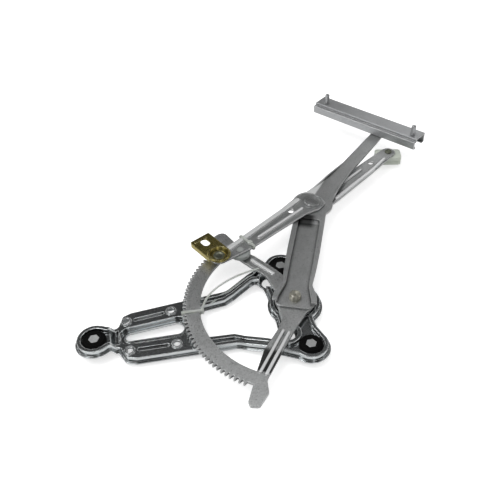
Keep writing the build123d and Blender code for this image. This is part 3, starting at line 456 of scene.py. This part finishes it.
def plated(
    name, tint, roughness, cloud, grain, ripple=0.0,
    wear_and_highlight=0.3, rounding=0.0007, corner_shade=0.5, metal=1.0, highlight_slopes=None, painted_shade=None,
):
    """Zinc-plated steel, its edges worn and painted brighter as highlight, its ribs painted bright
    as highlight, and perhaps a patch of painted shade.
    """
    if name in bpy.data.materials:
        return bpy.data.materials[name]
    material, tree, shader, where = new_material(name)
    edge = use_group(tree, edge_group(), {"Radius": rounding})
    bright = edge.outputs["Edge"]
    # Painted highlight: rib crests, or the lift arm's flank, are painted bright and made less
    # metallic.
    if highlight_slopes is not None:
        raised_highlight = inside(tree, where, highlight_slopes)
        bright = maths(tree, "MAXIMUM", bright, raised_highlight)
        metal = remap(tree, raised_highlight, 0.0, 1.0, start=metal, end=metal - RIB_METAL_LOSS)
    plating = use_group(tree, plating_group(), {
        "Vector": where,
        "Colour": (*tint, 1.0),
        "Cloud": cloud,
        "Roughness": roughness,
        "Grain": grain,
        "Ripple": ripple,
        "Edge": bright,
        "Wear_and_highlight": wear_and_highlight,
        "Corner_shade": corner_shade,
        "Normal": edge.outputs["Normal"],
    })
    tone = plating.outputs["Colour"]
    # Painted shade: a dark patch multiplied into the colour.
    if painted_shade is not None:
        darkened = inside(tree, where, painted_shade)
        tone = blend(tree, darkened, tone, PAINTED_SHADE_TONE, blend_type="MULTIPLY")
    feed(tree, shader.inputs["Base Color"], tone)
    feed(tree, shader.inputs["Metallic"], metal)
    feed(tree, shader.inputs["Roughness"], plating.outputs["Roughness"])
    feed(tree, shader.inputs["Normal"], plating.outputs["Normal"])
    return material


def moulded_rubber(tint):
    """Dull black rubber with fine pits."""
    if "door_mount_rubber" in bpy.data.materials:
        return bpy.data.materials["door_mount_rubber"]
    material, tree, shader, where = new_material("door_mount_rubber")
    bloom = noise(tree, where, scale=120.0, detail=4.0)
    pits = noise(tree, where, scale=1400.0, detail=2.0)
    dull = remap(tree, bloom, 0.0, 1.0, start=0.36, end=0.55)
    feed(tree, shader.inputs["Base Color"], (*tint, 1.0))
    feed(tree, shader.inputs["Specular IOR Level"], 0.04)
    feed(tree, shader.inputs["Roughness"], dull)
    feed(tree, shader.inputs["Normal"], bump(tree, pits, 0.25, PIT_DEPTH))
    return material


def moulded_nylon(name, tint, clear):
    """Milky nylon, the more see-through the clearer."""
    if name in bpy.data.materials:
        return bpy.data.materials[name]
    material, tree, shader, where = new_material(name)
    cloud = noise(tree, where, scale=60.0, detail=3.0)
    aged = [fresh * kept for fresh, kept in zip(tint, AGED_NYLON)]
    sheen = remap(tree, cloud, 0.0, 1.0, start=0.3, end=0.45)
    feed(tree, shader.inputs["Base Color"], blend(tree, cloud, (*tint, 1.0), (*aged, 1.0)))
    feed(tree, shader.inputs["Roughness"], sheen)
    feed(tree, shader.inputs["Subsurface Weight"], 0.3)
    feed(tree, shader.inputs["Subsurface Radius"], (1.0, 1.0, 0.9))
    feed(tree, shader.inputs["Subsurface Scale"], 0.004)
    feed(tree, shader.inputs["Transmission Weight"], clear)
    return material


# ---- small details -----------------------------------------------------

def top_of(name):
    """The middle of a round piece's top."""
    low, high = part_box(name)
    return Vector(((low[0] + high[0]) / 2, (low[1] + high[1]) / 2, high[2]))


def ring(shape, centre, radius, wire):
    """A round-section ring lying flat round a place."""
    made = bmesh.ops.create_circle(shape, segments=RING_SIDES, radius=wire)["verts"]
    upright = Matrix.Rotation(math.pi / 2, 3, "X")
    bmesh.ops.rotate(shape, verts=made, cent=(0, 0, 0), matrix=upright)
    bmesh.ops.translate(shape, verts=made, vec=centre + Vector((radius, 0, 0)))
    edges = list({edge for vert in made for edge in vert.link_edges})
    bmesh.ops.spin(
        shape, geom=made + edges, cent=centre, axis=(0, 0, 1),
        angle=math.tau, steps=RING_STEPS, use_merge=True,
    )


def thread(shape, foot, radius, depth, pitch, turns):
    """A helical ridge standing on a cylinder, its ends closed."""
    made = bmesh.ops.create_circle(shape, segments=THREAD_SIDES, radius=depth)["verts"]
    upright = Matrix.Rotation(math.pi / 2, 3, "X") @ Matrix.Rotation(-math.pi / 2, 3, "Z")
    bmesh.ops.rotate(shape, verts=made, cent=(0, 0, 0), matrix=upright)
    bmesh.ops.translate(shape, verts=made, vec=foot + Vector((radius, 0, 0)))
    edges = list({edge for vert in made for edge in vert.link_edges})
    bmesh.ops.spin(
        shape, geom=made + edges, cent=foot, axis=(0, 0, 1),
        dvec=(0, 0, pitch / THREAD_STEPS), angle=math.tau * turns,
        steps=THREAD_STEPS * turns, use_merge=False,
    )
    bmesh.ops.holes_fill(shape, edges=[edge for edge in shape.edges if edge.is_boundary])


def piece(name, shape, body, material):
    """A finished piece on its body."""
    bmesh.ops.recalc_face_normals(shape, faces=shape.faces)
    for face in shape.faces:
        face.smooth = True
    mesh = bpy.data.meshes.new(name)
    shape.to_mesh(mesh)
    shape.free()
    made = bpy.data.objects.new(name, mesh)
    bpy.context.scene.collection.objects.link(made)
    mesh.materials.append(material)
    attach(made, body)
    return made


def dress(names, material):
    """Give CAD pieces their finish."""
    for name in names:
        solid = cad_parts[name]
        solid.data.materials.clear()
        solid.data.materials.append(material)


# ---- operators ---------------------------------------------------------

class FinishBasePlate(bpy.types.Operator):
    """Mirror-bright zinc on the pressed base plate"""

    bl_idname = "regulator.finish_base_plate"
    bl_label = "Base plate"

    def execute(self, context):
        finish = context.scene.regulator_finishes
        # Edges worn and painted bright as highlight, with painted shade in corners.
        bright = plated(
            "bright_zinc_sheet", finish.bright_zinc,
            roughness=0.12, cloud=0.10, grain=0.04, ripple=finish.ripple,
            wear_and_highlight=0.9, rounding=0.0014, corner_shade=0.6, metal=0.98,
        )
        dress(["base_plate"], bright)
        return {"FINISHED"}


class FinishDoorMounts(bpy.types.Operator):
    """Rubber grommets with their threaded hexagon inserts"""

    bl_idname = "regulator.finish_door_mounts"
    bl_label = "Door mounts"

    def execute(self, context):
        finish = context.scene.regulator_finishes
        rubber = moulded_rubber(finish.rubber)
        steel = plated(
            "insert_zinc", finish.satin_zinc, roughness=0.38, cloud=0.2, grain=0.2,
        )
        places = ("left", "upper", "lower")
        dress([f"rubber_mount_{p}" for p in places], rubber)
        dress([f"threaded_insert_{p}" for p in places], steel)
        for name in places:
            top = top_of(f"rubber_mount_{name}")
            shape = bmesh.new()
            for depth, radius, wire in RUBBER_LIPS:
                ring(shape, top - Vector((0, 0, depth)), radius, wire)
            piece(f"rubber_lips_{name}", shape, "base", rubber)
        return {"FINISHED"}


class FinishArms(bpy.types.Operator):
    """Satin zinc on the toothed sector, the lift arm and the equaliser halves"""

    bl_idname = "regulator.finish_arms"
    bl_label = "Arms and sector"

    def execute(self, context):
        finish = context.scene.regulator_finishes
        for name, rounding in ARM_ROUNDING.items():
            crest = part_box(name)[1][2] - RIB_HEIGHT
            # Painted highlight on the crests of the ribs.
            highlight_slopes = [slope(Vector((0, 0, 1)), Vector((0, 0, crest)), RIB_RISE)]
            painted_shade = None
            # The lift arm gets painted highlight on its flank and a painted shadow over the panel's
            # step.
            if name == "lift_arm":
                highlight_slopes, painted_shade = self.flank_highlight(), self.ramp_shadow()
            # The sector gets painted shade in the trough of its lower spoke.
            if name == "sector_gear":
                painted_shade = self.spoke_trough_shade(crest)
            sheet = plated(
                f"satin_zinc_{name}", finish.satin_zinc,
                roughness=0.33, cloud=0.18, grain=finish.grain, ripple=0.12,
                wear_and_highlight=0.8, rounding=rounding, corner_shade=0.85, metal=0.88, highlight_slopes=highlight_slopes, painted_shade=painted_shade,
            )
            dress([name], sheet)
        return {"FINISHED"}

    def flank_highlight(self):
        """Painted highlight on the left flank of the upper arm, between the boss and the flange."""
        along = Vector((math.cos(UPPER_ARM_ANGLE), math.sin(UPPER_ARM_ANGLE), 0))
        left = Vector((-along.y, along.x, 0))
        outward = (left - FLANK_SLANT * along).normalized()
        pivot = top_of("cross_pivot_stud")
        return [
            slope(outward, pivot, FLANK_EDGE),
            slope(along, pivot, FLANK_START),
            slope(-along, pivot, FLANK_END),
        ]

    def spoke_trough_shade(self, crest):
        """Painted shade in the trough of the lower spoke, between and beside its two ridges."""
        along = Vector((math.cos(LOWER_SPOKE_ANGLE), math.sin(LOWER_SPOKE_ANGLE), 0))
        left = Vector((-along.y, along.x, 0))
        hub = Vector((0, 0, crest))
        return [
            slope(along, hub, TROUGH_START),
            slope(-along, hub, TROUGH_END),
            slope(left, hub, TROUGH_SIDE),
            slope(-left, hub, TROUGH_SIDE),
            slope(Vector((0, 0, -1)), hub, TROUGH_TOP),
        ]

    def ramp_shadow(self):
        """Painted shadow over the step of the panel, below the cross pivot."""
        pivot, foot = top_of("cross_pivot_stud"), top_of("pivot_stud")
        down = Vector((foot.x - pivot.x, foot.y - pivot.y, 0)).normalized()
        left = Vector((down.y, -down.x, 0))
        return [
            slope(down, pivot, RAMP_SHADOW_START),
            slope(-down, pivot, RAMP_SHADOW_END),
            slope(left, pivot, RAMP_SHADOW_RIGHT),
        ]


class FinishPivots(bpy.types.Operator):
    """Yellowish zinc on the main pivot, plain zinc and olive on the others"""

    bl_idname = "regulator.finish_pivots"
    bl_label = "Pivots and rivets"

    def execute(self, context):
        finish = context.scene.regulator_finishes
        size = context.scene.regulator_details
        yellow = plated(
            "yellow_zinc_pivot", finish.yellow_zinc, roughness=0.30, cloud=0.15, grain=0.10,
        )
        plain = plated(
            "rivet_zinc", finish.satin_zinc, roughness=0.30, cloud=0.15, grain=0.15,
        )
        olive = plated(
            "olive_rivet_zinc", finish.olive_rivet,
            roughness=0.36, cloud=0.2, grain=0.15, wear_and_highlight=0.1,
        )
        dress(["pivot_stud", "thrust_washer", "pivot_bush"], yellow)
        dress(["bracket_rivet", "slider_rivet"], olive)
        cross = ["cross_pivot_stud", "cross_washer_upper", "cross_spacer_lower"]
        dress([*cross, "rail_pivot_pin"], plain)
        shape = bmesh.new()
        ring(shape, top_of("pivot_stud"), size.pivot_ring, size.head_wire)
        piece("pivot_head_ring", shape, "base", yellow)
        shape = bmesh.new()
        for radius in (size.cross_outer, size.cross_inner):
            ring(shape, top_of("cross_pivot_stud"), radius, size.head_wire)
        boss = top_of("cross_pivot_stud")
        boss.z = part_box("equaliser_bracket_half")[1][2] - RIB_HEIGHT
        ring(shape, boss, size.boss_ring, size.boss_wire)
        piece("cross_head_rings", shape, "equaliser", plain)
        return {"FINISHED"}


class FinishGuideBracket(bpy.types.Operator):
    """Gold chromate on the slotted guide bracket"""

    bl_idname = "regulator.finish_guide_bracket"
    bl_label = "Guide bracket"

    def execute(self, context):
        finish = context.scene.regulator_finishes
        gold = plated(
            "gold_chromate_sheet", finish.gold_chromate,
            roughness=0.28, cloud=0.3, grain=0.15, ripple=0.1,
        )
        dress(["guide_bracket"], gold)
        return {"FINISHED"}


class FinishRail(bpy.types.Operator):
    """Dull zinc on the roll-formed rail and its studs"""

    bl_idname = "regulator.finish_rail"
    bl_label = "Glass rail"

    def execute(self, context):
        finish = context.scene.regulator_finishes
        size = context.scene.regulator_details
        # Edges worn and painted bright as highlight, with light painted shade in corners.
        rail = plated(
            "rail_zinc", finish.rail_zinc,
            roughness=0.42, cloud=0.12, grain=finish.grain, ripple=0.05,
            wear_and_highlight=0.9, rounding=0.0016, corner_shade=0.3, metal=0.9,
        )
        studs = plated(
            "stud_zinc", finish.rail_zinc,
            roughness=0.36, cloud=0.15, grain=0.2, wear_and_highlight=0.1, corner_shade=0.85,
        )
        dress(["glass_rail"], rail)
        dress(["rail_stud_far", "rail_stud_near"], studs)
        for name in ("far", "near"):
            foot = top_of(f"rail_stud_{name}") - Vector((0, 0, size.thread_start))
            shape = bmesh.new()
            thread(
                shape, foot, size.thread_radius, size.thread_depth,
                size.thread_pitch, size.thread_turns,
            )
            piece(f"stud_thread_{name}", shape, "rail", studs)
        return {"FINISHED"}


class FinishNylon(bpy.types.Operator):
    """Natural nylon of the slider, the shoe, the glide pad and the ties"""

    bl_idname = "regulator.finish_nylon"
    bl_label = "Nylon pieces"

    def execute(self, context):
        finish = context.scene.regulator_finishes
        nylon = moulded_nylon("slider_nylon", finish.nylon, clear=0.0)
        tie = moulded_nylon("clear_tie_nylon", finish.tie, clear=0.55)
        pad = moulded_nylon("greased_pad_nylon", finish.pad, clear=0.35)
        dress(["end_slider", "rail_shoe"], nylon)
        dress(["glide_pad"], pad)
        dress(["arm_tie", "sector_tie"], tie)
        return {"FINISHED"}


class BuildStage(bpy.types.Operator):
    """Camera, pale floor, room and soft lamps"""

    bl_idname = "regulator.build_stage"
    bl_label = "Studio"

    def execute(self, context):
        scene = context.scene
        stage = scene.regulator_stage
        scene.view_settings.view_transform = "Standard"
        self.camera(scene, stage)
        self.floor(scene, stage)
        self.room(scene, stage)
        self.cards(scene, stage)
        self.lamps(scene, stage)
        return {"FINISHED"}

    def camera(self, scene, stage):
        """The camera, turned from its aim and its roll."""
        data = bpy.data.cameras.new("camera")
        data.lens = stage.lens
        data.sensor_width = SENSOR_WIDTH
        data.clip_start = 0.01
        camera = bpy.data.objects.new("camera", data)
        scene.collection.objects.link(camera)
        level = CAMERA_AIM.cross(Vector((0, 0, 1))).normalized()
        above = level.cross(CAMERA_AIM)
        across = level * math.cos(stage.roll) + above * math.sin(stage.roll)
        upward = above * math.cos(stage.roll) - level * math.sin(stage.roll)
        turn = Matrix((across, upward, -CAMERA_AIM)).transposed().to_4x4()
        camera.matrix_world = Matrix.Translation(CAMERA_PLACE) @ turn
        scene.camera = camera

    def floor(self, scene, stage):
        """A pale floor that keeps the part's shadow."""
        low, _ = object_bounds()
        mesh = bpy.data.meshes.new("floor")
        shape = bmesh.new()
        bmesh.ops.create_grid(shape, x_segments=1, y_segments=1, size=FLOOR_HALF)
        bmesh.ops.translate(shape, verts=shape.verts, vec=(0, 0, low[2]))
        shape.to_mesh(mesh)
        shape.free()
        floor = bpy.data.objects.new("floor", mesh)
        scene.collection.objects.link(floor)
        material = bpy.data.materials.new("floor_paper")
        material.use_nodes = True
        tree = material.node_tree
        shader = tree.nodes["Principled BSDF"]
        shader.inputs["Base Color"].default_value = (*stage.floor, 1.0)
        shader.inputs["Roughness"].default_value = 0.9
        shader.inputs["Specular IOR Level"].default_value = 0.1
        shader.inputs["Emission Color"].default_value = (1, 1, 1, 1)
        path = tree.nodes.new("ShaderNodeLightPath")
        glow = maths(tree, "MULTIPLY", path.outputs["Is Camera Ray"], stage.floor_glow)
        feed(tree, shader.inputs["Emission Strength"], glow)
        mesh.materials.append(material)
        floor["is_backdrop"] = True

    def room(self, scene, stage):
        """A pale room that is white where it is seen or mirrored."""
        world = bpy.data.worlds.new("room")
        scene.world = world
        world.use_nodes = True
        tree = world.node_tree
        tree.nodes.clear()
        lit = node(tree, "ShaderNodeBackground", Color=(1, 1, 1, 1), Strength=stage.world)
        seen = node(tree, "ShaderNodeBackground", Color=(1, 1, 1, 1), Strength=1.0)
        path = tree.nodes.new("ShaderNodeLightPath")
        direct = maths(
            tree, "MAXIMUM", path.outputs["Is Camera Ray"], path.outputs["Is Transmission Ray"],
        )
        either = maths(tree, "MAXIMUM", direct, path.outputs["Is Glossy Ray"])
        mix = tree.nodes.new("ShaderNodeMixShader")
        out = tree.nodes.new("ShaderNodeOutputWorld")
        feed(tree, mix.inputs["Fac"], either)
        feed(tree, mix.inputs[1], lit.outputs[0])
        feed(tree, mix.inputs[2], seen.outputs[0])
        feed(tree, out.inputs["Surface"], mix.outputs[0])

    def card(self, shape, width, height):
        """A flat card about the origin."""
        verts = bmesh.ops.create_grid(shape, x_segments=1, y_segments=1, size=0.5)["verts"]
        bmesh.ops.scale(shape, verts=verts, vec=(width, height, 1))
        return verts

    def cards(self, scene, stage):
        """Dark cards standing round the part, which only its metal mirrors."""
        low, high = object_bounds()
        middle = Vector((low[0] + high[0], low[1] + high[1], 0)) / 2
        mesh = bpy.data.meshes.new("dark_cards")
        shape = bmesh.new()
        tilt = Matrix.Rotation(CARD_TILT, 3, "X")
        for number in range(CARD_COUNT):
            card = self.card(shape, CARD_WIDTH, CARD_HEIGHT)
            bmesh.ops.rotate(shape, verts=card, cent=(0, 0, 0), matrix=tilt)
            bmesh.ops.translate(shape, verts=card, vec=(0, CARD_AWAY, CARD_MIDDLE))
            turn = Matrix.Rotation(number * math.tau / CARD_COUNT, 3, "Z")
            bmesh.ops.rotate(shape, verts=card, cent=(0, 0, 0), matrix=turn)
        card = self.card(shape, CEILING_CARD, CEILING_CARD)
        bmesh.ops.translate(shape, verts=card, vec=(0, -CEILING_CARD / 4, CEILING_HEIGHT))
        bmesh.ops.translate(shape, verts=shape.verts, vec=middle)
        shape.to_mesh(mesh)
        shape.free()
        cards = bpy.data.objects.new("dark_cards", mesh)
        scene.collection.objects.link(cards)
        material = bpy.data.materials.new("card_cloth")
        material.use_nodes = True
        shader = material.node_tree.nodes["Principled BSDF"]
        shader.inputs["Base Color"].default_value = (*stage.card, 1.0)
        shader.inputs["Roughness"].default_value = 1.0
        shader.inputs["Specular IOR Level"].default_value = 0.0
        mesh.materials.append(material)
        cards.visible_camera = False
        cards.visible_diffuse = False
        cards.visible_transmission = False
        cards.visible_shadow = False
        cards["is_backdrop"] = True

    def lamps(self, scene, stage):
        """One large soft lamp from above."""
        data = bpy.data.lights.new("key_lamp", "SUN")
        data.energy = stage.key
        data.angle = stage.key_size
        lamp = bpy.data.objects.new("key_lamp", data)
        scene.collection.objects.link(lamp)
        lamp.matrix_world = KEY_AIM.to_track_quat("-Z", "Y").to_matrix().to_4x4()


class RegulatorPanel(bpy.types.Panel):
    """Lists the steps that dress the regulator"""

    bl_idname = "VIEW3D_PT_regulator"
    bl_label = "Window regulator"
    bl_space_type = "VIEW_3D"
    bl_region_type = "UI"
    bl_category = "Regulator"

    def draw(self, context):
        for step in STEPS:
            self.layout.operator(step.bl_idname)
        for place, group in SETTINGS.items():
            box = self.layout.box()
            for name in group.__annotations__:
                box.prop(getattr(context.scene, place), name)


STEPS = (
    FinishBasePlate,
    FinishDoorMounts,
    FinishArms,
    FinishPivots,
    FinishGuideBracket,
    FinishRail,
    FinishNylon,
    BuildStage,
)
SETTINGS = {
    "regulator_finishes": RegulatorFinishes,
    "regulator_details": RegulatorDetails,
    "regulator_stage": RegulatorStage,
}
CLASSES = (*SETTINGS.values(), *STEPS, RegulatorPanel)


def register():
    """Make the classes and their settings known to the program."""
    for item in CLASSES:
        bpy.utils.register_class(item)
    for place, group in SETTINGS.items():
        setattr(bpy.types.Scene, place, bpy.props.PointerProperty(type=group))


def unregister():
    """Take the settings and the classes away again."""
    for place in SETTINGS:
        delattr(bpy.types.Scene, place)
    for item in reversed(CLASSES):
        bpy.utils.unregister_class(item)


def run(step):
    """Call an operator by its name."""
    area, name = step.bl_idname.split(".")
    getattr(getattr(bpy.ops, area), name)()


def main():
    """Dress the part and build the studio."""
    register()
    for step in STEPS:
        run(step)


if __name__ == "__main__":
    main()
